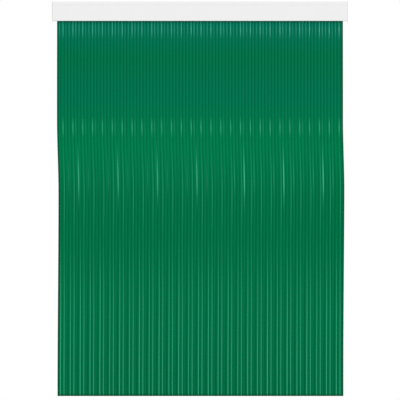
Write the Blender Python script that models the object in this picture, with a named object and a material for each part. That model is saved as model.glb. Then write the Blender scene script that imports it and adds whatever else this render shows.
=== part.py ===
"""A fly curtain for a wide doorway.

Ribbons of green PVC, each with three flutes along it, hang side by side on a steel rod. Each one
is folded over the rod and welded to itself, so it swings by itself. A white header hides the rod:
a back rail that hooks onto three wall brackets, a front fascia that clips over the rail, an end
cap at each end, and moulded hooks that slide into the rail and carry the rod between the ribbons.

X runs along the header, the front faces -Y and +Z is up. The origin is in the middle of the
centre bracket's wall face.
"""

import math

import bmesh
import bpy
from mathutils import Vector

# Whole curtain
header_length = 1.500
header_height = 0.0985
ribbon_drop = 1.9015  # from the header's lower edge to the ribbons' cut ends
fit_gap = 0.0003  # left between pieces that touch

# Ribbons
end_room = 0.0245  # least room from the outer ribbons to the header's ends
ribbon_pitch = 0.050
ribbon_gap = 0.0005  # between one ribbon and the next
ribbon_thickness = 0.0008
flute_count = 3
flute_depth = 0.0022
flute_start = 0.045  # below the rod's axis, where the flutes reach their full depth
bow_depth = 0.006
head_room = 0.002  # between the folded head of a ribbon and a rod hook beside it
weld_top = 0.0056  # below the rod's axis
weld_end = 0.016  # below the rod's axis
loop_point = 0.0052  # below the rod's axis, where the inside of the loop closes

# Rod
rod_diameter = 0.006
rod_chamfer = 0.0005
rod_height = 0.006  # axis above the header's lower edge
swing_room = 0.0145  # clear in front of the rod's axis and behind it

# Back rail
rail_wall = 0.002
bracket_room = 0.009  # between the wall of the room and the rail
back_edge_height = 0.0015  # the back wall stops this far above the header's lower edge
web_height = 0.024  # underside of the web above the header's lower edge
lip_thickness = 0.0015
lip_drop = 0.0045
hook_slack = 0.0007
slot_lip = 0.0016
slot_wall = 0.0015
port_radius = 0.0018
port_wall = 0.0018
port_offset = 0.0030
port_inset = 0.0060
port_mouth = math.radians(60)

# Front fascia
fascia_wall = 0.002
fascia_corner = 0.004
edge_bead = 0.004  # diameter of the rolled lower edge
fascia_return = 0.016
clip_length = 0.004
clip_wall = 0.0015
line_drop = 0.018  # of the fine line below the header's top
line_width = 0.0012
line_depth = 0.0006

# End caps
cap_thickness = 0.003
cap_back_gap = 0.0005
cap_edge = 0.0008
cap_back_corner = 0.0015
socket_wall = 0.0025
socket_length = 0.012
tongue_length = 0.008
tongue_thickness = 0.002
tongue_inset = 0.008

# Rod hooks
hook_step = 5  # ribbons from one hook to the next
hook_width = 0.006
hook_wall = 0.0015
hook_head = 0.012
hook_head_thickness = 0.0018
hook_neck = 0.0034
hook_mouth = math.radians(110)

# Wall brackets
bracket_height = 0.040
bracket_width = 0.050
bracket_thickness = 0.002
bracket_bend = 0.001  # inside radius
bracket_reach = 0.007
bracket_upstand = 0.0035
bracket_tab = 0.0087
bracket_end_distance = 0.150  # from the header's end to an outer bracket's centre
bracket_top_distance = 0.0325  # from the header's top to a bracket's centre
screw_slot_width = 0.005
screw_slot_height = 0.012
screw_slot_offset = 0.014

# Screws
screw_diameter = 0.003
screw_head_diameter = 0.0054
screw_head_height = 0.0018
screw_tip = 0.0015
lock_screw_length = 0.008
cap_screw_length = 0.016

# Shapes in shares of the sizes above
flute_shares = (0.0, 1.0, 1.0)  # height of one flute's points, from one side to the other
fall_shares = (0.25, 0.5, 0.75, 1.0)  # of the ribbon's drop
sunk_share = 0.5  # of the ribbon's thickness that the weld sinks the folded layer
bevel_profile_share = 0.5

overrun = 0.001
smooth_angle = math.radians(35)
arc_steps = 6
bend_steps = 3
loop_steps = 11
round_sides = 16
screw_sides = 12

# Places and counts that follow from the sizes
top_z = bracket_top_distance
edge_z = top_z - header_height
back_y = -bracket_room
inner_y = back_y - rail_wall
rod_y = inner_y - swing_room
rod_z = edge_z + rod_height
front_y = rod_y - swing_room - edge_bead
fascia_inner_y = front_y + fascia_wall
return_y = front_y + fascia_return
ledge_top_z = top_z - fascia_wall - fit_gap
ledge_low_z = ledge_top_z - rail_wall
web_low_z = edge_z + web_height
web_top_z = web_low_z + rail_wall
slot_low_z = web_low_z - hook_head_thickness - 2 * fit_gap - slot_lip
shelf_top_z = bracket_height / 2
tab_low_z = -bracket_height / 2
lock_y = -(bracket_thickness + bracket_room) / 2
port_y = inner_y - port_offset
port_heights = (web_top_z + port_inset, top_z - rail_wall - port_inset)
loop_radius = rod_diameter / 2 + fit_gap
ribbon_width = ribbon_pitch - ribbon_gap
head_width = ribbon_pitch - hook_width - 2 * head_room  # narrower than the ribbon, for the hooks
rail_half = header_length / 2 - cap_thickness - fit_gap
bracket_spacing = header_length / 2 - bracket_end_distance
bracket_places = (("left", -bracket_spacing), ("centre", 0), ("right", bracket_spacing))
ribbon_count = math.floor((header_length - 2 * end_room) / ribbon_pitch)
hook_spans = (ribbon_count - 2) // hook_step
hook_spans -= (ribbon_count - hook_spans * hook_step) % 2  # so that each hook meets a joint of two ribbons


def finish_material(name, colour, roughness, metallic):
    """A plain finish for one kind of piece."""
    material = bpy.data.materials.new(name)
    material.use_nodes = True
    shader = material.node_tree.nodes["Principled BSDF"]
    shader.inputs["Base Color"].default_value = (*colour, 1)
    shader.inputs["Roughness"].default_value = roughness
    shader.inputs["Metallic"].default_value = metallic
    material.diffuse_color = (*colour, 1)
    return material


def placed(name, mesh, material, place=(0, 0, 0)):
    """An object of this mesh, with its origin at a place."""
    part = bpy.data.objects.new(name, mesh)
    bpy.context.collection.objects.link(part)
    part.location = place
    part.parent = frame
    if not mesh.materials:
        mesh.materials.append(material)
    mesh.shade_smooth()
    mesh.set_sharp_from_angle(angle=smooth_angle)
    return part


def as_mesh(name, bm):
    """The finished mesh of a bmesh, with its faces pointing out."""
    bmesh.ops.recalc_face_normals(bm, faces=bm.faces)
    mesh = bpy.data.meshes.new(name)
    bm.to_mesh(mesh)
    bm.free()
    return mesh


def combined(first, second, operation):
    """The mesh of one solid joined to another, or cut by it."""
    body = bpy.data.objects.new(first.name, first)
    tool = bpy.data.objects.new(second.name, second)
    for helper in (body, tool):
        bpy.context.collection.objects.link(helper)
    tool.hide_render = True
    tool.display_type = "WIRE"
    modifier = body.modifiers.new("combine", "BOOLEAN")
    modifier.operation = operation
    modifier.solver = "EXACT"
    modifier.object = tool
    bpy.context.view_layer.update()
    evaluated = body.evaluated_get(bpy.context.evaluated_depsgraph_get())
    mesh = bpy.data.meshes.new_from_object(evaluated)
    for helper in (body, tool):
        bpy.data.objects.remove(helper, do_unlink=True)
    return mesh


def arc(centre, radius, start, end, steps=arc_steps):
    """Points along an arc from one angle to another, both ends included."""
    points = []
    for step in range(steps + 1):
        angle = start + (end - start) * step / steps
        points.append((centre[0] + radius * math.cos(angle), centre[1] + radius * math.sin(angle)))
    return points


def extruded(name, outline, start, end):
    """A solid that carries an outline in the YZ plane along X."""
    bm = bmesh.new()
    face = bm.faces.new([bm.verts.new((start, y, z)) for y, z in outline])
    grown = bmesh.ops.extrude_face_region(bm, geom=[face])
    far_end = [item for item in grown["geom"] if isinstance(item, bmesh.types.BMVert)]
    bmesh.ops.translate(bm, verts=far_end, vec=(end - start, 0, 0))
    return as_mesh(name, bm)


def block(name, low, high):
    """A square-edged solid between two corners."""
    outline = [(low[1], low[2]), (high[1], low[2]), (high[1], high[2]), (low[1], high[2])]
    return extruded(name, outline, low[0], high[0])


def turned(name, profile, place, direction, sides=round_sides):
    """A solid turned about an axis, from (radius, distance along the axis) pairs."""
    bm = bmesh.new()
    points = [bm.verts.new((radius, 0, along)) for radius, along in profile]
    edges = [bm.edges.new(pair) for pair in zip(points, points[1:])]
    bmesh.ops.spin(
        bm,
        geom=points + edges,
        axis=(0, 0, 1),
        cent=(0, 0, 0),
        angle=2 * math.pi,
        steps=sides,
        use_merge=True,
    )
    bmesh.ops.remove_doubles(bm, verts=bm.verts, dist=fit_gap / 10)
    turn = direction_matrix(direction)
    bmesh.ops.transform(bm, matrix=turn, verts=bm.verts)
    bmesh.ops.translate(bm, verts=bm.verts, vec=place)
    return as_mesh(name, bm)


def direction_matrix(direction):
    """The turn that carries +Z to a direction."""
    return Vector((0, 0, 1)).rotation_difference(Vector(direction)).to_matrix().to_4x4()


def bent_strip(corners, thickness, inside_radius):
    """The outline of a strip bent along a line of corners, with its bends rounded."""
    radius = inside_radius + thickness / 2
    line = [Vector(corners[0])]
    for before, corner, after in zip(corners, corners[1:], corners[2:]):
        corner = Vector(corner)
        arriving = (corner - Vector(before)).normalized()
        leaving = (Vector(after) - corner).normalized()
        turn = arriving.angle_signed(leaving)
        reach = radius * math.tan(abs(turn) / 2)
        side = Vector((-arriving.y, arriving.x)) * math.copysign(1, -turn)
        centre = corner - arriving * reach + side * radius
        spoke = -side
        for step in range(bend_steps + 1):
            swing = -turn * step / bend_steps
            line.append(centre + radius * turned_by(spoke, swing))
    line.append(Vector(corners[-1]))
    left, right = [], []
    for index, point in enumerate(line):
        ahead = line[min(index + 1, len(line) - 1)] - line[max(index, 0)]
        behind = line[index] - line[max(index - 1, 0)]
        ahead = ahead if ahead.length else behind
        behind = behind if behind.length else ahead
        across = (ahead.normalized() + behind.normalized()).normalized()
        normal = Vector((-across.y, across.x))
        stretch = thickness / 2 / max(normal.dot(Vector((-ahead.y, ahead.x)).normalized()), 0.5)
        left.append(tuple(point + normal * stretch))
        right.append(tuple(point - normal * stretch))
    return left + right[::-1]


def turned_by(vector, angle):
    """A 2D vector turned counter-clockwise."""
    cosine, sine = math.cos(angle), math.sin(angle)
    return Vector((vector.x * cosine - vector.y * sine, vector.x * sine + vector.y * cosine))


def rod_mesh():
    """The round steel rod, chamfered at both ends."""
    half, radius = rail_half, rod_diameter / 2
    profile = [
        (0, -half),
        (radius - rod_chamfer, -half),
        (radius, rod_chamfer - half),
        (radius, half - rod_chamfer),
        (radius - rod_chamfer, half),
        (0, half),
    ]
    return turned("rod", profile, (0, rod_y, rod_z), (1, 0, 0))


def screw_mesh(length, place, direction):
    """A pan-head screw whose head's underside is at a place and whose shank runs along a direction."""
    radius, head = screw_diameter / 2, screw_head_diameter / 2
    profile = [
        (0, -screw_head_height),
        (head - screw_head_height / 2, -screw_head_height),
        (head, -screw_head_height / 2),
        (head, 0),
        (radius, 0),
        (radius, length - screw_tip),
        (0, length),
    ]
    return turned("screw", profile, place, direction, screw_sides)


def head_mesh():
    """The end of a ribbon, folded round the rod and welded to the ribbon's back."""
    outer = loop_radius + ribbon_thickness
    weld_y = -ribbon_thickness * sunk_share
    outside = tangent_arc((weld_y, -weld_top), (ribbon_thickness, -weld_top), outer)
    outline = [(weld_y, -weld_end), (weld_y, -weld_top)] + outside
    outline += [(ribbon_thickness, -weld_top), (ribbon_thickness, -weld_end)]
    solid = extruded("head", outline, -head_width / 2, head_width / 2)
    inside = [(0, -loop_point)] + tangent_arc((0, -loop_point), (0, -loop_point), loop_radius)
    hole = extruded("hole", inside, -head_width / 2 - overrun, head_width / 2 + overrun)
    return combined(solid, hole, "DIFFERENCE")


def tangent_arc(front, back, radius):
    """The arc over the rod between the tangents from a point in front and one behind, both below it."""
    start = math.atan2(front[1], front[0]) - math.acos(radius / math.hypot(*front))
    end = math.atan2(back[1], back[0]) + math.acos(radius / math.hypot(*back))
    return arc((0, 0), radius, start % (2 * math.pi), end, loop_steps)


def ribbon_stations():
    """Down a ribbon: distance below the rod's axis, bow to the front and flute depth."""
    length = ribbon_drop + rod_height
    yield weld_top, 0, 0
    yield weld_end, 0, 0
    yield flute_start, bow_at(flute_start / length), flute_depth
    for share in fall_shares:
        yield length * share, bow_at(share), flute_depth


def bow_at(share):
    """How far a ribbon stands to the front, a share of the way down: one full wave that sums to nothing."""
    return bow_depth * math.sin(2 * math.pi * share)


def fluted_mesh():
    """A ribbon's hanging length, one ring of points for each station."""
    points_across = flute_count * len(flute_shares) + 1
    bm = bmesh.new()
    rings = []
    for below, bow, depth in ribbon_stations():
        front, back = [], []
        for index in range(points_across):
            x = ribbon_width * (index / (points_across - 1) - 1 / 2)
            crest = flute_shares[index % len(flute_shares)] - 1 / 2
            y = -bow - depth * crest
            front.append(bm.verts.new((x, y - ribbon_thickness, -below)))
            back.append(bm.verts.new((x, y, -below)))
        rings.append(front + back[::-1])
    bm.faces.new(rings[0])
    bm.faces.new(rings[-1])
    for upper, lower in zip(rings, rings[1:]):
        for index in range(len(upper)):
            bm.faces.new((upper[index - 1], upper[index], lower[index], lower[index - 1]))
    return as_mesh("fluted", bm)


def hook_mesh():
    """A rod hook: a head for the rail's slot, a neck and a clip that holds the rod from above."""
    inner, outer = loop_radius, loop_radius + hook_wall
    half_mouth = hook_mouth / 2
    neck_angle = math.asin(hook_neck / 2 / outer)
    up = math.pi / 2
    low_head = slot_low_z + slot_lip + fit_gap - rod_z
    front_arc = arc((0, 0), outer, up + math.pi - half_mouth, up + neck_angle)
    back_arc = arc((0, 0), outer, up - neck_angle, up - math.pi + half_mouth)
    bore = arc((0, 0), inner, up - math.pi + half_mouth, up + math.pi - half_mouth, round_sides)
    head = [
        (-hook_neck / 2, low_head),
        (-hook_head / 2, low_head),
        (-hook_head / 2, low_head + hook_head_thickness),
        (hook_head / 2, low_head + hook_head_thickness),
        (hook_head / 2, low_head),
        (hook_neck / 2, low_head),
    ]
    return extruded("hook", front_arc + head + back_arc + bore, -hook_width / 2, hook_width / 2)


def port_outline(height):
    """Down past one screw port, an open ring that stands on the rail's back wall."""
    outer = port_radius + port_wall
    joint = math.acos(port_offset / outer)
    mouth = math.pi - port_mouth / 2
    centre = (port_y, height)
    return (
        arc(centre, outer, joint, mouth)
        + arc(centre, port_radius, mouth, -mouth)
        + arc(centre, outer, -mouth, -joint)
    )


def rail_outline():
    """The back rail's section, walked round its edge from the lower end of its back."""
    lip_front = -(bracket_reach - bracket_thickness - hook_slack)
    lip_back = lip_front + lip_thickness
    lip_low = shelf_top_z + fit_gap
    hang_low = lip_low + lip_drop
    rib_back = -(bracket_thickness + bracket_bend + fit_gap)
    rib_low = tab_low_z + bracket_thickness + fit_gap
    hook_room = hook_head / 2 + fit_gap
    slot_half = hook_neck / 2 + fit_gap
    slot_outer = hook_room + slot_wall
    rear = [
        (back_y, edge_z + back_edge_height),
        (back_y, rib_low),
        (rib_back, rib_low),
        (rib_back, rib_low + rail_wall),
        (back_y, rib_low + rail_wall),
        (back_y, hang_low),
        (lip_front, hang_low),
        (lip_front, lip_low),
        (lip_back, lip_low),
        (lip_back, hang_low + lip_thickness),
        (back_y, hang_low + lip_thickness),
        (back_y, top_z),
    ]
    top = [
        (return_y + fit_gap, top_z),
        (return_y + fit_gap, ledge_top_z),
        (fascia_inner_y + fit_gap, ledge_top_z),
        (fascia_inner_y + fit_gap, ledge_low_z),
        (return_y + fit_gap + rail_wall, ledge_low_z),
        (return_y + fit_gap + rail_wall, top_z - rail_wall),
        (inner_y, top_z - rail_wall),
    ]
    ports = port_outline(port_heights[1]) + port_outline(port_heights[0])
    web = [
        (inner_y, web_top_z),
        (fascia_inner_y + fit_gap, web_top_z),
        (fascia_inner_y + fit_gap, web_low_z),
        (rod_y - slot_outer, web_low_z),
        (rod_y - slot_outer, slot_low_z),
        (rod_y - slot_half, slot_low_z),
        (rod_y - slot_half, slot_low_z + slot_lip),
        (rod_y - hook_room, slot_low_z + slot_lip),
        (rod_y - hook_room, web_low_z),
        (rod_y + hook_room, web_low_z),
        (rod_y + hook_room, slot_low_z + slot_lip),
        (rod_y + slot_half, slot_low_z + slot_lip),
        (rod_y + slot_half, slot_low_z),
        (rod_y + slot_outer, slot_low_z),
        (rod_y + slot_outer, web_low_z),
        (inner_y, web_low_z),
        (inner_y, edge_z + back_edge_height),
    ]
    return rear + top + ports + web


def rail_mesh():
    """The extruded back rail, drilled where the brackets' locking screws pass."""
    mesh = extruded("rail", rail_outline(), -rail_half, rail_half)
    for _, x in bracket_places:
        mesh = combined(mesh, lock_hole_mesh(x), "DIFFERENCE")
    return mesh


def lock_hole_mesh(x):
    """A cutter for a locking screw's hole, from below the bracket's tab to above the rail's rib."""
    radius = screw_diameter / 2 + fit_gap
    length = 2 * bracket_thickness + rail_wall + 2 * overrun
    profile = [(0, 0), (radius, 0), (radius, length), (0, length)]
    return turned("lock hole", profile, (x, lock_y, tab_low_z - overrun), (0, 0, 1), screw_sides)


def fascia_outline():
    """The front fascia's section, walked round its edge from its rolled lower edge."""
    bead = edge_bead / 2
    bead_arc = arc((fascia_inner_y, edge_z + bead), bead, math.pi / 2, -math.pi)
    line_z = top_z - line_drop
    corner = arc(
        (front_y + fascia_corner, top_z - fascia_corner), fascia_corner, math.pi, math.pi / 2, bend_steps
    )
    front = [
        (front_y, line_z - line_width / 2),
        (front_y + line_depth, line_z),
        (front_y, line_z + line_width / 2),
    ]
    clip_y = fascia_inner_y + clip_length
    under_ledge = ledge_low_z - fit_gap
    over_web = web_top_z + fit_gap
    under_web = web_low_z - fit_gap
    back = [
        (return_y, top_z),
        (return_y, top_z - fascia_wall),
        (fascia_inner_y, top_z - fascia_wall),
        (fascia_inner_y, under_ledge),
        (clip_y, under_ledge),
        (clip_y, under_ledge - clip_wall),
        (fascia_inner_y, under_ledge - clip_wall),
        (fascia_inner_y, over_web + clip_wall),
        (clip_y, over_web + clip_wall),
        (clip_y, over_web),
        (fascia_inner_y, over_web),
        (fascia_inner_y, under_web),
        (clip_y, under_web),
        (clip_y, under_web - clip_wall),
        (fascia_inner_y, under_web - clip_wall),
    ]
    return bead_arc + front + corner + back


def cap_outline():
    """The end cap's edge, which follows the header's front and covers the brackets behind it."""
    bead = edge_bead / 2
    rear = -cap_back_gap
    quarter = math.pi / 2
    return (
        arc((front_y + bead, edge_z + bead), bead, -quarter, -math.pi, bend_steps)
        + arc((front_y + fascia_corner, top_z - fascia_corner), fascia_corner, math.pi, quarter, bend_steps)
        + arc((rear - cap_back_corner, top_z - cap_back_corner), cap_back_corner, quarter, 0, bend_steps)
        + arc((rear - cap_back_corner, edge_z + cap_back_corner), cap_back_corner, 0, -quarter, bend_steps)
    )


def cap_mesh():
    """The left end cap: its plate, the socket that holds the rod and the tongues that enter the rail."""
    outside = -header_length / 2
    inside = outside + cap_thickness
    plate = extruded("cap", cap_outline(), outside, inside)
    chamfer_outer_edge(plate, outside)
    socket_outer = loop_radius + socket_wall
    socket_reach = socket_length + overrun
    tongue_end = inside + tongue_length
    low_tongue = web_top_z + fit_gap
    high_tongue = ledge_low_z - fit_gap - tongue_thickness
    tongue_front = fascia_inner_y + tongue_inset
    tongue_back = port_y - port_radius - port_wall - fit_gap
    socket = [(0, 0), (socket_outer, 0), (socket_outer, socket_reach), (0, socket_reach)]
    solids = [
        turned("socket", socket, (inside - overrun, rod_y, rod_z), (1, 0, 0)),
        block(
            "lower tongue",
            (inside - overrun, tongue_front, low_tongue),
            (tongue_end, tongue_back, low_tongue + tongue_thickness),
        ),
        block(
            "upper tongue",
            (inside - overrun, tongue_front, high_tongue),
            (tongue_end, return_y, high_tongue + tongue_thickness),
        ),
    ]
    for solid in solids:
        plate = combined(plate, solid, "UNION")
    bore = [(0, 0), (loop_radius, 0), (loop_radius, socket_reach), (0, socket_reach)]
    plate = combined(plate, turned("bore", bore, (inside, rod_y, rod_z), (1, 0, 0)), "DIFFERENCE")
    hole_radius = screw_diameter / 2 + fit_gap
    hole_length = cap_thickness + 2 * overrun
    hole = [(0, 0), (hole_radius, 0), (hole_radius, hole_length), (0, hole_length)]
    for height in port_heights:
        drill = turned("drill", hole, (outside - overrun, port_y, height), (1, 0, 0), screw_sides)
        plate = combined(plate, drill, "DIFFERENCE")
    return plate


def chamfer_outer_edge(mesh, outside):
    """Chamfers the edge round the cap's outer face."""
    bm = bmesh.new()
    bm.from_mesh(mesh)
    near = fit_gap / 10
    rim = [edge for edge in bm.edges if all(abs(vert.co.x - outside) < near for vert in edge.verts)]
    bmesh.ops.bevel(
        bm,
        geom=rim,
        offset=cap_edge,
        offset_type="OFFSET",
        segments=1,
        profile=bevel_profile_share,
        affect="EDGES",
        material=-1,
    )
    bm.to_mesh(mesh)
    bm.free()


def mirrored(mesh):
    """The same solid on the other side of the middle."""
    bm = bmesh.new()
    bm.from_mesh(mesh)
    bmesh.ops.mirror(bm, geom=bm.verts[:] + bm.edges[:] + bm.faces[:], axis="X", merge_dist=0)
    left = [vert for vert in bm.verts if vert.co.x < 0]
    bmesh.ops.delete(bm, geom=left, context="VERTS")
    return as_mesh(mesh.name, bm)


def bracket_mesh():
    """A wall bracket bent from strip: a shelf with an upstand for the rail, slots and a lower tab."""
    half = bracket_thickness / 2
    corners = [
        (half - bracket_reach, shelf_top_z + bracket_upstand),
        (half - bracket_reach, shelf_top_z - half),
        (-half, shelf_top_z - half),
        (-half, tab_low_z + half),
        (-bracket_tab, tab_low_z + half),
    ]
    outline = bent_strip(corners, bracket_thickness, bracket_bend)
    mesh = extruded("bracket", outline, -bracket_width / 2, bracket_width / 2)
    for side in (-1, 1):
        mesh = combined(mesh, slot_mesh(side * screw_slot_offset), "DIFFERENCE")
    return combined(mesh, lock_hole_mesh(0), "DIFFERENCE")


def slot_mesh(x):
    """A cutter for an upright wall-screw slot with round ends."""
    radius = screw_slot_width / 2
    straight = screw_slot_height / 2 - radius
    outline = arc((0, straight), radius, 0, math.pi, bend_steps) + arc(
        (0, -straight), radius, math.pi, 2 * math.pi, bend_steps
    )
    bm = bmesh.new()
    face = bm.faces.new([bm.verts.new((x + across, overrun, up)) for across, up in outline])
    grown = bmesh.ops.extrude_face_region(bm, geom=[face])
    front = [item for item in grown["geom"] if isinstance(item, bmesh.types.BMVert)]
    bmesh.ops.translate(bm, verts=front, vec=(0, -bracket_thickness - 2 * overrun, 0))
    return as_mesh("slot", bm)


def build_header():
    """The rail, its fascia and its end caps."""
    placed("header_back_rail", rail_mesh(), white_aluminium)
    fascia = extruded("fascia", fascia_outline(), -rail_half, rail_half)
    placed("header_front_fascia", fascia, white_plastic)
    cap = cap_mesh()
    placed("end_cap_left", cap, white_plastic)
    placed("end_cap_right", mirrored(cap), white_plastic)
    for side, hand in ((-1, "left"), (1, "right")):
        for level, height in zip(("lower", "upper"), port_heights):
            head = (side * (header_length / 2 + fit_gap), port_y, height)
            screw = screw_mesh(cap_screw_length, head, (-side, 0, 0))
            placed(f"end_cap_screw_{hand}_{level}", screw, steel)


def build_rod():
    """The rod and the hooks that carry it between the ribbons' heads."""
    placed("hanger_rod", rod_mesh(), steel)
    hook = hook_mesh()
    step = hook_step * ribbon_pitch
    for number in range(hook_spans + 1):
        x = (number - hook_spans / 2) * step
        placed(f"rod_hook_{number + 1}", hook, clear_plastic, (x, rod_y, rod_z))


def build_brackets():
    """The wall brackets and the screws that lock the rail to them."""
    bracket = bracket_mesh()
    for name, x in bracket_places:
        placed(f"wall_bracket_{name}", bracket, steel, (x, 0, 0))
        screw = screw_mesh(lock_screw_length, (x, lock_y, tab_low_z - fit_gap), (0, 0, 1))
        placed(f"lock_screw_{name}", screw, steel)


def build_ribbons():
    """The ribbons, each with its origin on the rod's axis."""
    ribbon = combined(fluted_mesh(), head_mesh(), "UNION")
    for number in range(ribbon_count):
        x = (number - (ribbon_count - 1) / 2) * ribbon_pitch
        placed(f"ribbon_{number + 1:02d}", ribbon, green_plastic, (x, rod_y, rod_z))


for old in list(bpy.data.objects):
    bpy.data.objects.remove(old, do_unlink=True)
frame = bpy.data.objects.new("fly_curtain", None)
bpy.context.collection.objects.link(frame)
white_aluminium = finish_material("white aluminium", (0.82, 0.82, 0.81), 0.40, 0.0)
white_plastic = finish_material("white plastic", (0.85, 0.85, 0.84), 0.35, 0.0)
green_plastic = finish_material("green plastic", (0.003, 0.17, 0.065), 0.25, 0.0)
clear_plastic = finish_material("natural plastic", (0.70, 0.70, 0.66), 0.45, 0.0)
steel = finish_material("zinc-plated steel", (0.62, 0.63, 0.64), 0.35, 1.0)
build_header()
build_rod()
build_brackets()
build_ribbons()
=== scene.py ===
"""The finish of a fly curtain: green PVC ribbons that hang from a rod in a white header.

Each ribbon is made anew as one strip of PVC, folded over the rod and welded to itself. The rod and
the screws are turned anew, and the other rigid pieces are copies of the frame's solids with their
edges eased. Lengths are in metres in the frame's axes: X runs along the header, the front faces -Y
and +Z is up.
"""

import math
import random
from collections import namedtuple

import bmesh
import bpy
from bpy.props import FloatProperty, FloatVectorProperty, IntProperty, PointerProperty
from bpy.types import Operator, Panel, PropertyGroup
from mathutils import Matrix, Vector


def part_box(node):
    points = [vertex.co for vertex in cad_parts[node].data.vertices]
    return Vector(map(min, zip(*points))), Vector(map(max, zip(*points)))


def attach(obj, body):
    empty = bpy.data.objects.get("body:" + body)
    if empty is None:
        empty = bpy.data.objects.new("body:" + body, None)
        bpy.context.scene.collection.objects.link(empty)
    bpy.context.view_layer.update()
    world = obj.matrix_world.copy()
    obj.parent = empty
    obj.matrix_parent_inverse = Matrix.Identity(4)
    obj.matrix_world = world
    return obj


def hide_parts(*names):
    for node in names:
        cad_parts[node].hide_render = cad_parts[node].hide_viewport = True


bl_info = {
    "name": "Fly Curtain",
    "version": (1, 0, 0),
    "blender": (4, 5, 0),
    "location": "View3D > Sidebar > Fly Curtain",
    "description": "Makes the ribbons, header, fixings and studio of a ribbon fly curtain",
    "category": "Object",
}

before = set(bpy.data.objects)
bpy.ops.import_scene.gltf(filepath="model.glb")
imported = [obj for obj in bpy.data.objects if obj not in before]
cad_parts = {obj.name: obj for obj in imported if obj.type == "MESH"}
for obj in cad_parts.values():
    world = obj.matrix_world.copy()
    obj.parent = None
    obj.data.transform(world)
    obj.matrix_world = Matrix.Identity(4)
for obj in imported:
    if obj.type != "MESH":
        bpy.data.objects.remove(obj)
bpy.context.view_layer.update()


def nodes_with(word):
    """The frame's nodes with a word in their names, in order."""
    return sorted(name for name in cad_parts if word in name)


rod_low, rod_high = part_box("hanger_rod")
rod_axis = (rod_low + rod_high) / 2
rod_radius = (rod_high.z - rod_low.z) / 2
rod_half_length = (rod_high.x - rod_low.x) / 2
ribbon_nodes = nodes_with("ribbon_")
ribbon_centres = [sum(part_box(name), Vector()).x / 2 for name in ribbon_nodes]
ribbon_pitch = ribbon_centres[1] - ribbon_centres[0]
cut_end = rod_axis.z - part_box(ribbon_nodes[0])[0].z
header_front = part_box("header_front_fascia")[0].y

# How far the fold stands off the rod, and each layer of the weld off the plane between them
loop_slack = 0.0003
half_weld_gap = 0.00005

# How far below the weld's top a strip has widened, round its shoulders, to its full width
shoulder = 0.0003

# How a strip is divided: the steps up its flap, over the rod and round its shoulders, how long the
# steps are down its start and down the rest of it, and the columns across each flute
flap_steps = 4
arc_steps = 18
shoulder_steps = 4
fine_step = 0.0024
coarse_step = 0.020
flute_columns = 12

# Where the ribbons sway out and where they come back, below the rod's axis, and how much of the
# sway comes back
sway_out = (0.50, 0.88)
sway_back = (0.80, 1.85)
sway_returned = 0.70

# The least and the most that a ribbon bows, as shares of the common bow
bow_spread = (0.96, 1.04)

# The strip's UV map: U is a ribbon's number plus the share across it, V is metres below the rod's
# axis, and the inset keeps a ribbon's edges off the whole numbers
strip_map = "strip"
map_inset = 0.0005

# How strong the painted highlights are at the joint at a ribbon's left, its left flute and its right
# flute, in each set of four ribbons
painted_highlight_sets = (
    (0.05, 1.00, 0.35),
    (0.18, 0.60, 1.00),
    (1.00, 0.90, 0.45),
    (0.18, 0.70, 0.90),
)

# From this ribbon and this joint on, the sets run one ribbon late
late_ribbon = 15
late_joint = 17

# Where the painted highlight lines lie across a ribbon, how far to each side they fade, and how far
# they drift to the right on the way down, as shares of its width
left_share, main_share, right_share = 0.235, 0.605, 0.900
line_reach = 0.080
line_drift = 0.060

# Where the painted highlight line of a joint lies, counted from half a ribbon left of the joint, how
# much further left it lies from the late joint on, and how far to each side it fades
joint_share = 0.560
joint_shift = 0.200
joint_reach = 0.086

# How far the shade in each flute's hollow is turned back and fades to each side, as shares of a
# flute
hollow_turn = 0.38
hollow_reach = 0.30

# The pitch of the weld's ribs, and how far above and below its lower end they fade
weld_rib_pitch = 0.0014
weld_fade = 0.0004

# Each white's roughness, the scales of its grain along X, Y and Z, and the depth of its grain
white_grains = {
    "fascia_white": (0.38, (60, 700, 700), 0.00002),
    "rail_white": (0.45, (400, 900, 900), 0.00004),
    "cap_white": (0.42, (1500, 1500, 1500), 0.00003),
}

# How solids are cleaned, eased and shaded: points closer than a distance are joined, and so are
# faces within the flat angle, and edges over the other angles are eased or stay sharp
merge_distance = 1e-5
turned_merge_distance = 1e-6
flat_angle = math.radians(1)
eased_angle = math.radians(50)
sharp_angle = math.radians(40)
strip_sharp_angle = math.radians(50)
edge_segments = 2

# The steps round the rod, over the rounding of its ends, and round a screw
rod_steps = 48
rounding_steps = 4
screw_steps = 36

# A pan head: its dome's points as shares of a quarter turn, the dome's share of the height, where
# the straight side starts and ends above the underside, and how far out the underside reaches
dome_points = (0.0, 0.2, 0.4, 0.6, 0.75, 0.88, 0.96)
dome_height = 0.62
side_top, side_end = 0.30, 0.10
underside_reach = 0.96

# The cutter of a pan head's cross recess, which starts its depth above the head and ends its depth
# below: reach and half width as shares of the head's radius, the depth as a share of its height,
# and how much of its size the far end has
recess_reach = 0.62
recess_half_width = 0.14
recess_depth = 0.60
recess_taper = 0.45

# A screw's threads: the core as a share of the radius, and where each thread starts to rise and
# where its flat crest starts and ends, as shares of its pitch
core_share = 0.72
thread_rise = 0.35
crest_start, crest_end = 0.60, 0.70

# A screw's plain neck, the room that its point takes in radii, and how wide, as a share of the
# core, and how long the blunt tip is
neck_length = 0.0004
point_radii = 2.2
tip_share = 0.4
tip_length = 0.0006

# The floor's half width, half depth and middle, and where it fades out to the sides, to the back
# and to the front
floor_half_width, floor_half_depth = 2.4, 1.25
floor_middle = -0.75
floor_side_fade = (1.3, 2.3)
floor_back_fade = (0.20, 0.45)
floor_front_fade = (-1.9, -1.1)

# How far the camera sees, and the way that the key light shines
camera_reach = 100
key_way = Vector((-0.75, 0.60, -0.30))

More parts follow.
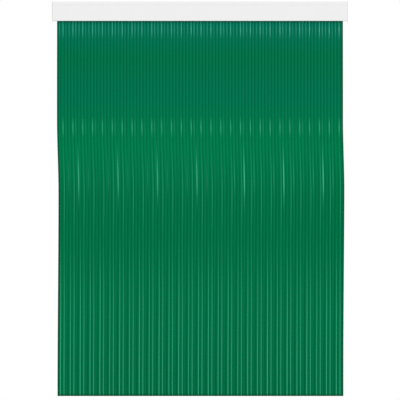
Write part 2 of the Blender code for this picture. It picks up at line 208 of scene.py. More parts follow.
# A place on the strip's length: how far below the rod's axis it counts, where it is, which way is
# out, how wide the strip is there, and how much of its flutes and bow it has
Station = namedtuple("Station", "below y z out_y out_z width flutes bow")


class RibbonSettings(PropertyGroup):
    """The sizes and colours of the ribbons."""

    side_gap: FloatProperty(
        name="Side Gap",
        description="Between one ribbon and the next",
        default=0.00005,
        unit="LENGTH",
    )
    thickness: FloatProperty(
        name="Thickness", description="Of the PVC strip", default=0.0008, unit="LENGTH"
    )
    head_width: FloatProperty(
        name="Head Width", description="Of the folded end", default=0.040, unit="LENGTH"
    )
    flutes: IntProperty(name="Flutes", description="That run down each ribbon", default=3)
    flute_depth: FloatProperty(
        name="Flute Depth", description="From crest to valley", default=0.0022, unit="LENGTH"
    )
    flute_start: FloatProperty(
        name="Flute Start",
        description="Where flutes reach full depth, below the rod's axis",
        default=0.045,
        unit="LENGTH",
    )
    weld_top: FloatProperty(
        name="Weld Top",
        description="Where the weld starts, below the rod's axis",
        default=0.0056,
        unit="LENGTH",
    )
    weld_end: FloatProperty(
        name="Weld End",
        description="Where the folded end is cut, below the rod's axis",
        default=0.016,
        unit="LENGTH",
    )
    bow: FloatProperty(
        name="Bow",
        description="To the front and back of a hanging ribbon",
        default=0.006,
        unit="LENGTH",
    )
    sway: FloatProperty(
        name="Sway", description="To the right of all the ribbons", default=0.0074, unit="LENGTH"
    )
    twist: FloatProperty(
        name="Twist",
        description="Most that a ribbon turns",
        default=math.radians(0.2),
        subtype="ANGLE",
    )
    green: FloatVectorProperty(
        name="Green",
        description="Of the PVC",
        default=(0.0002, 0.121, 0.0445),
        size=3,
        subtype="COLOR",
    )
    cool_green: FloatVectorProperty(
        name="Cool Green",
        description="Near the fold",
        default=(0.0006, 0.128, 0.074),
        size=3,
        subtype="COLOR",
    )
    # Painted light: a lighter green for the band where the strip bends up towards the light
    lit_bend_green: FloatVectorProperty(
        name="Lit Bend Green",
        description="Painted lit band where the strip bends",
        default=(0.0002, 0.147, 0.054),
        size=3,
        subtype="COLOR",
    )
    # Painted highlight: the pale green of the highlight lines down the flutes
    highlight_green: FloatVectorProperty(
        name="Highlight Green",
        description="Painted highlight along the flutes",
        default=(0.006, 0.270, 0.138),
        size=3,
        subtype="COLOR",
    )
    # Painted highlight: the pale green of the highlight lines near the fold
    highlight_cool: FloatVectorProperty(
        name="Highlight Cool Green",
        description="Painted highlight along the flutes near the fold",
        default=(0.010, 0.280, 0.180),
        size=3,
        subtype="COLOR",
    )


class HeaderSettings(PropertyGroup):
    """The sizes and colours of the header and its fixings."""

    edge: FloatProperty(
        name="Edge",
        description="Easing of moulded, extruded and pressed edges",
        default=0.0003,
        unit="LENGTH",
    )
    fascia_white: FloatVectorProperty(
        name="Fascia White",
        description="Of the fascia",
        default=(0.628, 0.628, 0.628),
        size=3,
        subtype="COLOR",
    )
    cap_white: FloatVectorProperty(
        name="Cap White",
        description="Of the end caps",
        default=(0.625, 0.625, 0.620),
        size=3,
        subtype="COLOR",
    )
    rail_white: FloatVectorProperty(
        name="Rail White",
        description="Of the rail",
        default=(0.60, 0.60, 0.595),
        size=3,
        subtype="COLOR",
    )
    rod_corner: FloatProperty(
        name="Rod Corner", description="Rounding of the rod's ends", default=0.0006, unit="LENGTH"
    )
    screw_radius: FloatProperty(
        name="Screw Radius", description="Over the threads", default=0.0015, unit="LENGTH"
    )
    screw_thread: FloatProperty(
        name="Screw Thread",
        description="From one thread to the next",
        default=0.0012,
        unit="LENGTH",
    )
    screw_head_radius: FloatProperty(
        name="Screw Head Radius", description="Of the pan heads", default=0.0027, unit="LENGTH"
    )
    screw_head_height: FloatProperty(
        name="Screw Head Height", description="Of the pan heads", default=0.0018, unit="LENGTH"
    )


class StudioSettings(PropertyGroup):
    """The camera, floor and lights."""

    lens: FloatProperty(name="Lens", description="Focal length in millimetres", default=200)
    frame_width: FloatProperty(
        name="Frame Width", description="At the header's front", default=2.0258, unit="LENGTH"
    )
    frame_height: FloatProperty(
        name="Frame Height", description="Of the frame's middle", default=-0.9731, unit="LENGTH"
    )
    floor_gap: FloatProperty(
        name="Floor Gap", description="Under the ribbons", default=0.065, unit="LENGTH"
    )
    key_strength: FloatProperty(
        name="Key Strength", description="Of the far soft light", default=2.0
    )
    key_spread: FloatProperty(
        name="Key Spread",
        description="Angle that it fills",
        default=math.radians(25),
        subtype="ANGLE",
    )


class Value:
    """A socket in a finish's nodes that sums and products carry on from."""

    def __init__(self, finish, socket):
        self.finish = finish
        self.socket = socket

    def maths(self, operation, *values):
        """A Math node on these values."""
        inputs = dict(enumerate(values))
        return self.finish.node("ShaderNodeMath", {"operation": operation}, inputs)

    def __add__(self, other):
        return self.maths("ADD", self, other)

    def __radd__(self, other):
        return self.maths("ADD", other, self)

    def __sub__(self, other):
        return self.maths("SUBTRACT", self, other)

    def __rsub__(self, other):
        return self.maths("SUBTRACT", other, self)

    def __mul__(self, other):
        return self.maths("MULTIPLY", self, other)

    def __rmul__(self, other):
        return self.maths("MULTIPLY", other, self)

    def __abs__(self):
        return self.maths("ABSOLUTE", self)

    def fraction(self):
        """What it has over a whole number."""
        return self.maths("FRACT", self)

    def above(self, limit):
        """1 where it is over a limit, and 0 elsewhere."""
        return self.maths("GREATER_THAN", self, limit)

    def output(self, name):
        """Another output of the same node."""
        return Value(self.finish, self.socket.node.outputs[name])


class Finish:
    """A material in the making: its Principled shader, plain until nodes feed its sockets."""

    def __init__(self, name, roughness, metallic=0.0):
        self.material = bpy.data.materials.new(name)
        self.material.use_nodes = True
        self.tree = self.material.node_tree
        self.shader = self.tree.nodes["Principled BSDF"]
        self.set(Roughness=roughness, Metallic=metallic)

    def node(self, kind, settings=None, inputs=None, output=0):
        """A node with its settings made first and then its sockets fed."""
        made = self.tree.nodes.new(kind)
        for name, value in (settings or {}).items():
            if name == "stops":
                self.set_stops(made.color_ramp, value)
            else:
                setattr(made, name, value)
        for name, value in (inputs or {}).items():
            self.feed(made.inputs[name], value)
        return Value(self, made.outputs[output])

    def set_stops(self, ramp, stops):
        """Gives a ramp its stops, as (place, colour) pairs that hold up to the next."""
        ramp.interpolation = "CONSTANT"
        while len(ramp.elements) < len(stops):
            ramp.elements.new(1)
        for element, (place, colour) in zip(ramp.elements, stops):
            element.position = place
            element.color = colour

    def feed(self, socket, value):
        """Links a value to a socket, or sets it."""
        if isinstance(value, Value):
            self.tree.links.new(value.socket, socket)
        else:
            socket.default_value = value

    def set(self, **inputs):
        """Feeds the Principled shader's sockets, with _ for a space in their names."""
        for name, value in inputs.items():
            self.feed(self.shader.inputs[name.replace("_", " ")], value)

    def mix(self, factor, first, second):
        """One colour going over to another."""
        inputs = {0: factor, 6: first, 7: second}
        return self.node("ShaderNodeMix", {"data_type": "RGBA"}, inputs, output=2)

    def ease(self, value, start, end, low=0.0, high=1.0):
        """A smooth step from low to high as a value goes from start to end."""
        return self.node(
            "ShaderNodeMapRange",
            {"interpolation_type": "SMOOTHSTEP"},
            {"Value": value, "From Min": start, "From Max": end, "To Min": low, "To Max": high},
        )

    def fade(self, value, start, end):
        """A smooth step from 1 to 0 as a value goes from start to end."""
        return self.ease(value, start, end, low=1.0, high=0.0)

    def ridge(self, value, centre, reach):
        """A smooth rise to 1 where a value meets its centre."""
        return self.fade(abs(value - centre), 0.0, reach)

    def noise(self, place, scale=1.0, detail=2.0, roughness=0.5):
        """Noise from 0 to 1."""
        inputs = {"Vector": place, "Scale": scale, "Detail": detail, "Roughness": roughness}
        return self.node("ShaderNodeTexNoise", inputs=inputs)

    def object_place(self):
        """Where a point is on its piece."""
        return self.node("ShaderNodeTexCoord", output="Object")

    def stretched(self, place, scale):
        """A place scaled apart, for grain that runs one way."""
        return self.node("ShaderNodeMapping", inputs={"Vector": place, "Scale": scale})

    def bump(self, height, distance, strength):
        """The normal of a relief of this height."""
        inputs = {"Height": height, "Distance": distance, "Strength": strength}
        return self.node("ShaderNodeBump", inputs=inputs)


def opaque(colour):
    """A colour with its alpha."""
    return (*colour, 1.0)


def toned(colour, factor):
    """A colour made lighter or darker, with its alpha."""
    return opaque(channel * factor for channel in colour)


def painted_highlight_amounts(finish, number, late):
    """How strong a ribbon's painted highlights are: red for its joint, green and blue for its flutes.

    From the late one on, a number has the amounts of the one before it.
    """
    number = number - number.above(late - 0.5)
    share = 1 / len(painted_highlight_sets)
    inside_stop = 0.05
    place = (number * share + inside_stop).fraction()
    stops = [(turn * share, opaque(amounts)) for turn, amounts in enumerate(painted_highlight_sets)]
    colour = finish.node("ShaderNodeValToRGB", {"stops": stops}, {0: place})
    return finish.node("ShaderNodeSeparateColor", inputs={0: colour}, output="Red")


def painted_highlight_lines(finish, along, across, below):
    """Painted highlights: pale lines down the flutes, and by the joints half way down."""
    highlight_strengths = painted_highlight_amounts(finish, along - across, late_ribbon)
    joint_across = (along + 0.5).fraction()
    joint = along + 0.5 - joint_across
    joint_highlight_strength = painted_highlight_amounts(finish, joint, late_joint)
    shifted = joint.above(late_joint - 0.5) * joint_shift

    near_header = finish.ease(below, start=0.105, end=0.045)
    glint = finish.ridge(below, centre=0.545, reach=0.062)
    middle = finish.ridge(below, centre=0.880, reach=0.300)
    low_down = finish.ease(below, start=1.02, end=1.55)
    drift = low_down * line_drift
    low_down = low_down + finish.ease(below, start=1.45, end=1.80) * 0.24
    long_joint = finish.ridge(below, centre=0.790, reach=0.210)
    short_joint = finish.ridge(below, centre=0.800, reach=0.110)

    left_line = finish.ridge(across, drift + left_share, line_reach)
    main_line = finish.ridge(across, drift + main_share, line_reach)
    right_line = finish.ridge(across, drift + right_share, line_reach)
    joint_line = finish.ridge(joint_across, joint_share - shifted, joint_reach)
    return (
        left_line * (near_header * 0.55 + low_down) * (highlight_strengths.output("Green") * 0.6 + 0.4)
        + main_line * (near_header + glint + middle * 0.45 + low_down * 0.90)
        + right_line * (near_header * 0.60 + glint * 0.35) * highlight_strengths.output("Blue")
        + joint_line * (long_joint * 1.3 + short_joint * 1.4) * joint_highlight_strength
    )


def strip_green(finish, settings, place, below):
    """The PVC's own green, cooler near the fold and streaked along it, with a painted lit band where
    it bends.
    """
    near_fold = finish.ease(below, start=0.22, end=0.02)
    upper_part = finish.ridge(below, centre=0.400, reach=0.300)
    cool = near_fold + upper_part * 0.50
    base = finish.mix(cool, opaque(settings.green), opaque(settings.cool_green))
    # A painted lit band where the strip bends up towards the light
    lit_bend = finish.ridge(below, centre=0.640, reach=0.300)
    base = finish.mix(lit_bend, base, opaque(settings.lit_bend_green))
    streaks = finish.noise(finish.stretched(place, (70, 0.9, 1.0)), detail=3.0)
    streaked = finish.ease(streaks, start=0.35, end=0.75, high=0.22)
    return finish.mix(streaked, base, toned(settings.green, 0.72))


def ribbon_finish(settings):
    """Glossy green PVC with painted highlight lines along its flutes, extrusion lines and a ribbed
    weld.
    """
    finish = Finish("ribbon_pvc", roughness=0.40)
    place = finish.node("ShaderNodeUVMap", {"uv_map": strip_map})
    along = finish.node("ShaderNodeSeparateXYZ", inputs={0: place}, output="X")
    below = along.output("Y")
    across = along.fraction()
    patches = finish.noise(finish.stretched(place, (1.7, 5.0, 1.0)))
    lines = painted_highlight_lines(finish, along, across, below) * (0.80 + patches * 0.40)

    # Painted shade in the hollows, darker low down, painted highlight lines, painted shade at the
    # curtain's sides, darker at the cut end
    base = strip_green(finish, settings, place, below)
    # Painted shade in each flute's hollow
    hollow_place = (across * settings.flutes + hollow_turn).fraction()
    hollow = finish.ridge(hollow_place, centre=0.5, reach=hollow_reach)
    base = finish.mix(hollow * 0.22, base, toned(settings.green, 0.60))
    lowest = finish.ease(below, start=1.35, end=1.85, high=0.24)
    base = finish.mix(lowest, base, toned(settings.green, 0.72))
    cooler = finish.ease(below, start=0.60, end=0.10)
    # The painted highlight lines, a paler green, mixed into the base colour
    highlight_colour = finish.mix(cooler, opaque(settings.highlight_green), opaque(settings.highlight_cool))
    base = finish.mix(lines * 0.80, base, highlight_colour)
    # Painted shade along the curtain's two outer edges, and darker towards the cut end
    from_side = along.maths("MINIMUM", along, len(ribbon_nodes) - along)
    side = finish.fade(from_side, start=0.06, end=0.25)
    cut = finish.ease(below, start=cut_end - 0.016, end=cut_end - 0.002)
    shade = side.maths("MAXIMUM", side, cut)
    base = finish.mix(shade * 0.80, base, toned(settings.green, 0.35))

    weld_end = settings.weld_end
    weld = finish.ease(below, start=weld_end + weld_fade, end=weld_end - weld_fade)
    weld_ribs = below.maths("SINE", below * (2 * math.pi / weld_rib_pitch)) * weld
    grain = finish.noise(finish.stretched(place, (160, 9, 1.0)), detail=3.0)
    scuffs = finish.noise(finish.stretched(place, (9, 40, 1.0)), detail=4.0)
    finish.set(
        Base_Color=base,
        Roughness=finish.ease(scuffs, start=0.40, end=0.75, low=0.36, high=0.50),
        Coat_Weight=lines * 0.46 + (1 - hollow) * 0.025,
        Coat_Roughness=0.22,
        Specular_IOR_Level=0.0,
        Normal=finish.bump(grain * 0.6 + weld_ribs, distance=0.00012, strength=0.6),
    )
    return finish.material


def white_finish(name, settings):
    """White plastic or coated metal with a fine grain, faint lines along it and a little dust."""
    colour = getattr(settings, name)
    roughness, grain_scale, grain_depth = white_grains[name]
    finish = Finish(name, roughness)
    place = finish.object_place()
    fine = finish.noise(finish.stretched(place, grain_scale), detail=3.0)
    drawn = finish.noise(finish.stretched(place, (1.5, 900, 900)))
    dust = finish.noise(finish.stretched(place, (7, 30, 30)), detail=4.0, roughness=0.6)
    lined = finish.ease(drawn, start=0.30, end=0.70, high=0.5)
    base = finish.mix(lined, opaque(colour), toned(colour, 0.985))
    dusty = finish.ease(dust, start=0.52, end=0.80, high=0.35)
    base = finish.mix(dusty, base, toned(colour, 0.965))
    smoothest, roughest = roughness - 0.05, roughness + 0.06
    finish.set(
        Base_Color=base,
        Roughness=finish.ease(fine, start=0.3, end=0.7, low=smoothest, high=roughest),
        Specular_IOR_Level=0.25,
        Normal=finish.bump(fine, grain_depth, strength=0.5),
    )
    return finish.material


def zinc_finish():
    """Zinc plate: pale spangle, a little duller in patches."""
    finish = Finish("zinc_plate", roughness=0.32, metallic=1.0)
    place = finish.object_place()
    spangle = {"Vector": place, "Scale": 420}
    cells = finish.node("ShaderNodeTexVoronoi", inputs=spangle, output="Color")
    tone = finish.node("ShaderNodeSeparateColor", inputs={0: cells})
    patches = finish.noise(place, scale=90, detail=4.0)
    pale = finish.mix(tone, opaque((0.56, 0.58, 0.60)), opaque((0.72, 0.73, 0.74)))
    duller = finish.ease(patches, start=0.45, end=0.75, high=0.5)
    finish.set(
        Base_Color=finish.mix(duller, pale, opaque((0.50, 0.51, 0.51))),
        Roughness=finish.ease(patches, start=0.3, end=0.7, low=0.26, high=0.44),
        Normal=finish.bump(tone, distance=0.00003, strength=0.4),
    )
    return finish.material


def steel_finish():
    """Bright drawn steel with fine lines along the rod."""
    finish = Finish("drawn_steel", roughness=0.25, metallic=1.0)
    lines = finish.noise(finish.stretched(finish.object_place(), (3, 2600, 2600)))
    tone = finish.ease(lines, start=0.3, end=0.7)
    finish.set(
        Base_Color=finish.mix(tone, opaque((0.48, 0.48, 0.48)), opaque((0.62, 0.62, 0.61))),
        Roughness=finish.ease(lines, start=0.3, end=0.7, low=0.20, high=0.34),
        Normal=finish.bump(lines, distance=0.00002, strength=0.4),
    )
    return finish.material


def nylon_finish():
    """Natural nylon of the rod hooks, faintly clouded."""
    finish = Finish("natural_nylon", roughness=0.42)
    clouds = finish.noise(finish.object_place(), scale=260, detail=3.0)
    finish.set(
        Base_Color=finish.mix(clouds, opaque((0.60, 0.59, 0.54)), opaque((0.70, 0.69, 0.65))),
        Roughness=finish.ease(clouds, start=0.3, end=0.7, low=0.36, high=0.48),
        Normal=finish.bump(clouds, distance=0.00003, strength=0.4),
    )
    return finish.material


def floor_finish():
    """A pale floor that fades out towards its edges."""
    finish = Finish("floor_pale", roughness=0.85)
    place = finish.object_place()
    across = finish.node("ShaderNodeSeparateXYZ", inputs={0: place}, output="X")
    back = across.output("Y")
    fade = finish.fade(abs(across), *floor_side_fade) * finish.fade(back, *floor_back_fade)
    tone = finish.noise(place, scale=2.5, detail=3.0)
    finish.set(
        Base_Color=finish.mix(tone, opaque((0.87, 0.87, 0.87)), opaque((0.89, 0.89, 0.89))),
        Specular_IOR_Level=0.1,
        Alpha=fade * finish.ease(back, *floor_front_fade),
    )
    return finish.material


def smooth_step(start, end, value):
    """A smooth step from 0 to 1 as a value goes from start to end."""
    share = min(max((value - start) / (end - start), 0.0), 1.0)
    return share * share * (3 - 2 * share)


def finished(name, bm, material, body, nodes):
    """A piece from a bmesh that rides on a body in place of frame nodes."""
    mesh = bpy.data.meshes.new(name)
    bm.to_mesh(mesh)
    bm.free()
    mesh.materials.append(material)
    mesh.shade_smooth()
    mesh.set_sharp_from_angle(angle=sharp_angle)
    piece = bpy.data.objects.new(name, mesh)
    bpy.context.collection.objects.link(piece)
    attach(piece, body)
    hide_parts(*nodes)
    return piece


def loop_stations(settings):
    """From the folded end's cut, up behind the weld and over the rod to the weld's top in front."""
    # From the weld's top the strip runs straight, as a tangent, to the arc that it takes over the rod
    layer = settings.thickness / 2 + half_weld_gap
    radius = rod_radius + loop_slack + settings.thickness / 2
    reach = math.hypot(layer, settings.weld_top)
    lean = math.acos(radius / reach)
    back = math.atan2(-settings.weld_top, layer) + lean
    sweep = math.pi - 2 * back
    arc_length = radius * sweep
    straight = math.sqrt(reach * reach - radius * radius)
    flap = settings.weld_end - settings.weld_top
    start = settings.weld_top - arc_length - 2 * straight - flap
    for step in range(flap_steps + 1):
        climbed = flap * step / flap_steps
        z = climbed - settings.weld_end
        yield Station(start + climbed, layer, z, 1, 0, settings.head_width, 0, 0)
    start += flap + straight
    for step in range(arc_steps + 1):
        angle = back + sweep * step / arc_steps
        out_y, out_z = math.cos(angle), math.sin(angle)
        below = start + radius * sweep * step / arc_steps
        y, z = radius * out_y, radius * out_z
        yield Station(below, y, z, out_y, out_z, settings.head_width, 0, 0)


def hanging_stations(settings, bow):
    """From the weld's top down to the cut end: shoulders, then the flutes and the long drop."""
    layer = settings.thickness / 2 + half_weld_gap
    full = ribbon_pitch - settings.side_gap
    rounded = range(shoulder_steps + 1)
    stops = [settings.weld_top + shoulder * step / shoulder_steps for step in rounded]
    while stops[-1] < settings.flute_start:
        stops.append(stops[-1] + fine_step)
    last = stops[-1]
    coarse = math.ceil((cut_end - last) / coarse_step)
    stops += [last + (cut_end - last) * step / coarse for step in range(1, coarse + 1)]
    for below in stops:
        rise = min((below - settings.weld_top) / shoulder, 1)
        widened = math.sqrt(1 - (1 - rise) ** 2)
        width = settings.head_width + (full - settings.head_width) * widened
        flutes = smooth_step(settings.weld_top + shoulder, settings.flute_start, below)
        lean = bow * math.sin(2 * math.pi * below / cut_end)
        yield Station(below, -layer, -below, -1, 0, width, flutes, lean)


def sway_at(below, settings):
    """How far to the right ribbons stand: none at first, most half way down, less at the end."""
    out = settings.sway * smooth_step(*sway_out, below)
    return out * (1 - sway_returned * smooth_step(*sway_back, below))


def ribbon_sheet(number, settings, chance):
    """The middle surface of a strip, with its place along and across it kept as a UV map."""
    stations = list(loop_stations(settings))
    stations += hanging_stations(settings, settings.bow * chance.uniform(*bow_spread))
    twist = settings.twist * chance.uniform(-1, 1)
    rows, columns = len(stations) - 1, settings.flutes * flute_columns

    # The grid is one by one about the origin, so a half more gives the share along or across
    bm = bmesh.new()
    bmesh.ops.create_grid(bm, x_segments=columns, y_segments=rows, size=0.5)
    strip = bm.loops.layers.uv.new(strip_map)
    for face in bm.faces:
        for loop in face.loops:
            station = stations[round((loop.vert.co.y + 0.5) * rows)]
            across = (1 - 2 * map_inset) * (loop.vert.co.x + 0.5)
            loop[strip].uv = (number + map_inset + across, station.below)
    for vert in bm.verts:
        station = stations[round((vert.co.y + 0.5) * rows)]
        share = vert.co.x + 0.5
        wave = math.sin(math.pi * (share * settings.flutes % 1)) if 0 < share < 1 else 0
        raised = settings.flute_depth * (wave - 0.5) * station.flutes
        turn = twist * math.sin(math.pi * max(station.below, 0) / cut_end)
        x = (share - 0.5) * station.width
        y = station.y - station.bow + station.out_y * raised + x * math.sin(turn)
        vert.co = (x + sway_at(station.below, settings), y, station.z + station.out_z * raised)
    bmesh.ops.translate(bm, verts=bm.verts, vec=(ribbon_centres[number], rod_axis.y, rod_axis.z))
    return bm


def applied(piece):
    """Makes a piece's modifiers part of its mesh."""
    bpy.context.view_layer.update()
    whole = piece.evaluated_get(bpy.context.evaluated_depsgraph_get())
    mesh = piece.data
    piece.data = bpy.data.meshes.new_from_object(whole)
    piece.modifiers.clear()
    piece.data.name = piece.name
    bpy.data.meshes.remove(mesh)


def thickened(piece, thickness):
    """Gives a sheet its thickness."""
    modifier = piece.modifiers.new("thickness", "SOLIDIFY")
    modifier.thickness = thickness
    modifier.offset = 0
    applied(piece)
    piece.data.shade_smooth()
    piece.data.set_sharp_from_angle(angle=strip_sharp_angle)


def flat_faced(piece):
    """Keeps the shading of large faces flat up to their eased edges."""
    modifier = piece.modifiers.new("flat faces", "WEIGHTED_NORMAL")
    modifier.keep_sharp = True
    modifier.weight = 100
    applied(piece)


def eased(node, width):
    """A copy of a frame solid with its facets joined and its outer edges eased."""
    bm = bmesh.new()
    bm.from_mesh(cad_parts[node].data)
    bmesh.ops.remove_doubles(bm, verts=bm.verts, dist=merge_distance)
    bmesh.ops.dissolve_limit(bm, angle_limit=flat_angle, verts=bm.verts, edges=bm.edges)
    outer = [edge for edge in bm.edges if edge.is_manifold and edge.is_convex]
    bmesh.ops.bevel(
        bm,
        geom=[edge for edge in outer if edge.calc_face_angle() > eased_angle],
        offset=width,
        offset_type="OFFSET",
        segments=edge_segments,
        profile=0.5,
        affect="EDGES",
        clamp_overlap=True,
        material=-1,
    )
    return bm


def turned(profile, steps):
    """A solid turned about Z from (radius, height) points."""
    bm = bmesh.new()
    points = [bm.verts.new((radius, 0, height)) for radius, height in profile]
    edges = [bm.edges.new(pair) for pair in zip(points, points[1:])]
    bmesh.ops.spin(
        bm,
        geom=points + edges,
        axis=(0, 0, 1),
        cent=(0, 0, 0),
        angle=2 * math.pi,
        steps=steps,
        use_merge=True,
    )
    bmesh.ops.remove_doubles(bm, verts=bm.verts, dist=turned_merge_distance)
    bmesh.ops.recalc_face_normals(bm, faces=bm.faces)
    return bm


def cross_recess(top, reach, half_width, depth):
    """The tapered cross that a screwdriver fits, sunk into a head whose top is at a height."""
    bm = bmesh.new()
    corner = [(half_width, reach), (-half_width, reach), (-half_width, half_width)]
    outline = []
    for quarter in range(4):
        turn = Matrix.Rotation(quarter * math.pi / 2, 3, "Z")
        outline += [bm.verts.new(turn @ Vector((x, y, top - depth))) for x, y in corner]
    face = bm.faces.new(outline)
    tip = bmesh.ops.extrude_face_region(bm, geom=[face])["geom"]
    deep = [each for each in tip if isinstance(each, bmesh.types.BMVert)]
    bmesh.ops.translate(bm, verts=deep, vec=(0, 0, 2 * depth))
    bmesh.ops.scale(bm, verts=deep, vec=(recess_taper, recess_taper, 1))
    bmesh.ops.recalc_face_normals(bm, faces=bm.faces)
    return bm


def cut_away(bm, tool):
    """One solid with another cut out of it."""
    solids = []
    for part in (bm, tool):
        mesh = bpy.data.meshes.new("solid")
        part.to_mesh(mesh)
        part.free()
        solids.append(bpy.data.objects.new("solid", mesh))
        bpy.context.collection.objects.link(solids[-1])
    whole, cutter = solids
    modifier = whole.modifiers.new("recess", "BOOLEAN")
    modifier.operation = "DIFFERENCE"
    modifier.solver = "EXACT"
    modifier.object = cutter
    applied(whole)
    left = bmesh.new()
    left.from_mesh(whole.data)
    for each in solids:
        mesh = each.data
        bpy.data.objects.remove(each)
        bpy.data.meshes.remove(mesh)
    return left


def pan_screw(settings, length):
    """A self-tapping pan-head screw along +Z, its head's underside at z = 0."""
    head, height = settings.screw_head_radius, settings.screw_head_height
    radius, pitch = settings.screw_radius, settings.screw_thread
    core = radius * core_share
    profile = []
    for point in dome_points:
        turn = point * math.pi / 2
        drop = height * dome_height * (1 - math.cos(turn))
        profile.append((head * math.sin(turn), -height + drop))
    profile += [(head, -height * side_top), (head, -height * side_end)]
    profile += [(head * underside_reach, 0), (radius, 0)]
    threads = max(int((length - point_radii * radius) / pitch), 1)
    for thread in range(threads):
        start = neck_length + thread * pitch
        profile += [(core, start), (core, start + pitch * thread_rise)]
        profile += [(radius, start + pitch * crest_start), (radius, start + pitch * crest_end)]
    profile += [(core, neck_length + threads * pitch)]
    profile += [(core * tip_share, length - tip_length), (0, length)]
    reach, half_width = head * recess_reach, head * recess_half_width
    recess = cross_recess(-height, reach, half_width, height * recess_depth)
    return cut_away(turned(profile, screw_steps), recess)


def dress(nodes, material, width):
    """Eased copies of frame solids, each in place of its own."""
    for node in nodes:
        bm = eased(node, width)
        flat_faced(finished(f"finished_{node}", bm, material, "header", [node]))


class CURTAIN_OT_ribbons(Operator):
    """Hang the PVC ribbons from the rod"""

    bl_idname = "curtain.ribbons"
    bl_label = "Hang Ribbons"

    def execute(self, context):
        settings = context.scene.curtain_ribbons
        material = ribbon_finish(settings)
        width = ribbon_pitch - settings.side_gap
        fold = settings.weld_end + math.pi * (rod_radius + loop_slack)
        for number, node in enumerate(ribbon_nodes):
            chance = random.Random(number)
            bm = ribbon_sheet(number, settings, chance)
            body = f"hanging_{node}"
            piece = finished(f"pvc_{node}", bm, material, body, [node])
            thickened(piece, settings.thickness)
            cut_end + fold
        return {"FINISHED"}


class CURTAIN_OT_header(Operator):
    """Finish the rail, its fascia and its end caps"""

    bl_idname = "curtain.header"
    bl_label = "Finish Header"

    def execute(self, context):
        settings = context.scene.curtain_header
        fascia = white_finish("fascia_white", settings)
        rail = white_finish("rail_white", settings)
        cap = white_finish("cap_white", settings)
        dress(["header_front_fascia"], fascia, settings.edge)
        dress(["header_back_rail"], rail, settings.edge)
        dress(["end_cap_left", "end_cap_right"], cap, settings.edge)
        return {"FINISHED"}


class CURTAIN_OT_rod(Operator):
    """Finish the rod and its hooks"""

    bl_idname = "curtain.rod"
    bl_label = "Finish Rod and Hooks"

    def execute(self, context):
        settings = context.scene.curtain_header
        dress(nodes_with("rod_hook_"), nylon_finish(), settings.edge / 2)
        corner = settings.rod_corner
        end = []
        for step in range(rounding_steps + 1):
            turn = math.pi / 2 * step / rounding_steps
            out = rod_radius - corner * (1 - math.sin(turn))
            end.append((out, rod_half_length - corner * (1 - math.cos(turn))))
        far_end = [(out, -along) for out, along in reversed(end)]
        profile = [(0, rod_half_length), *end, *far_end, (0, -rod_half_length)]
        bm = turned(profile, rod_steps)
        place = Matrix.Translation(rod_axis) @ Matrix.Rotation(math.pi / 2, 4, "Y")
        bmesh.ops.transform(bm, matrix=place, verts=bm.verts)
        name, steel = "finished_hanger_rod", steel_finish()
        flat_faced(finished(name, bm, steel, "header", ["hanger_rod"]))
        return {"FINISHED"}


class CURTAIN_OT_fixings(Operator):
    """Finish the wall brackets and turn the screws"""

    bl_idname = "curtain.fixings"
    bl_label = "Finish Fixings"

    def execute(self, context):
        settings = context.scene.curtain_header
        zinc = zinc_finish()
        dress(nodes_with("wall_bracket_"), zinc, settings.edge)
        for node in nodes_with("screw"):
            low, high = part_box(node)
            if node.startswith("lock"):
                into = Vector((0, 0, 1))
            else:
                into = Vector((-math.copysign(1, low.x), 0, 0))
            length = abs((high - low).dot(into)) - settings.screw_head_height
            middle = (low + high) / 2
            underside = middle + into * (settings.screw_head_height - length) / 2
            bm = pan_screw(settings, length)
            turn = into.to_track_quat("Z", "Y").to_matrix().to_4x4()
            place = Matrix.Translation(underside) @ turn
            bmesh.ops.transform(bm, matrix=place, verts=bm.verts)
            flat_faced(finished(f"finished_{node}", bm, zinc, "header", [node]))
        return {"FINISHED"}


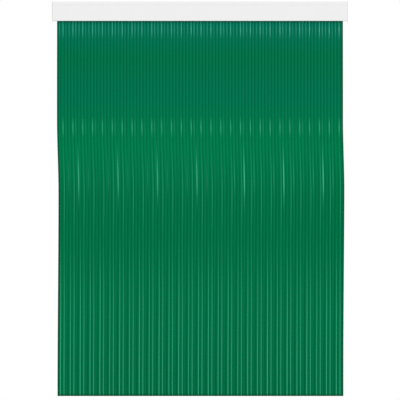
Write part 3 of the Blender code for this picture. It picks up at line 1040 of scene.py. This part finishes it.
class CURTAIN_OT_studio(Operator):
    """Set up the camera, the floor and the lights"""

    bl_idname = "curtain.studio"
    bl_label = "Set Up Studio"

    def execute(self, context):
        settings = context.scene.curtain_studio
        scene = context.scene
        lens = bpy.data.cameras.new("camera")
        lens.lens = settings.lens
        lens.clip_end = camera_reach
        camera = bpy.data.objects.new("camera", lens)
        scene.collection.objects.link(camera)
        distance = settings.frame_width * settings.lens / lens.sensor_width
        camera.location = (0, header_front - distance, settings.frame_height)
        camera.rotation_euler = (math.pi / 2, 0, 0)
        scene.camera = camera

        floor = bmesh.new()
        bmesh.ops.create_grid(floor, x_segments=1, y_segments=1, size=1)
        size = (floor_half_width, floor_half_depth, 1)
        bmesh.ops.scale(floor, verts=floor.verts, vec=size)
        height = rod_axis.z - cut_end - settings.floor_gap
        bmesh.ops.translate(floor, verts=floor.verts, vec=(0, floor_middle, height))
        mesh = bpy.data.meshes.new("floor")
        floor.to_mesh(mesh)
        floor.free()
        mesh.materials.append(floor_finish())
        ground = bpy.data.objects.new("floor", mesh)
        scene.collection.objects.link(ground)

        world = bpy.data.worlds.new("studio")
        world.use_nodes = True
        background = world.node_tree.nodes["Background"]
        background.inputs["Color"].default_value = (1, 1, 1, 1)
        background.inputs["Strength"].default_value = 1.0
        scene.world = world
        scene.view_settings.view_transform = "Standard"

        lamp = bpy.data.lights.new("key", "SUN")
        lamp.energy = settings.key_strength
        lamp.angle = settings.key_spread
        key = bpy.data.objects.new("key", lamp)
        scene.collection.objects.link(key)
        key.rotation_euler = key_way.to_track_quat("-Z", "Y").to_euler()
        return {"FINISHED"}


class CURTAIN_PT_pieces(Panel):
    """Lists the steps that make the curtain and what they are set to"""

    bl_label = "Fly Curtain"
    bl_space_type = "VIEW_3D"
    bl_region_type = "UI"
    bl_category = "Fly Curtain"

    def draw(self, context):
        for step in steps:
            self.layout.operator(step.bl_idname)
        scene = context.scene
        for group in (scene.curtain_ribbons, scene.curtain_header, scene.curtain_studio):
            column = self.layout.column()
            for name in group.__annotations__:
                column.prop(group, name)


steps = (
    CURTAIN_OT_studio,
    CURTAIN_OT_header,
    CURTAIN_OT_rod,
    CURTAIN_OT_fixings,
    CURTAIN_OT_ribbons,
)
groups = (RibbonSettings, HeaderSettings, StudioSettings)


def register():
    """Adds the settings, the steps and the panel."""
    for each in (*groups, *steps, CURTAIN_PT_pieces):
        bpy.utils.register_class(each)
    bpy.types.Scene.curtain_ribbons = PointerProperty(type=RibbonSettings)
    bpy.types.Scene.curtain_header = PointerProperty(type=HeaderSettings)
    bpy.types.Scene.curtain_studio = PointerProperty(type=StudioSettings)


def unregister():
    """Takes them out again, in the opposite order."""
    del bpy.types.Scene.curtain_studio
    del bpy.types.Scene.curtain_header
    del bpy.types.Scene.curtain_ribbons
    for each in reversed((*groups, *steps, CURTAIN_PT_pieces)):
        bpy.utils.unregister_class(each)


def main():
    """Makes everything in order."""
    register()
    bpy.ops.curtain.studio()
    bpy.ops.curtain.header()
    bpy.ops.curtain.rod()
    bpy.ops.curtain.fixings()
    bpy.ops.curtain.ribbons()


if __name__ == "__main__":
    main()
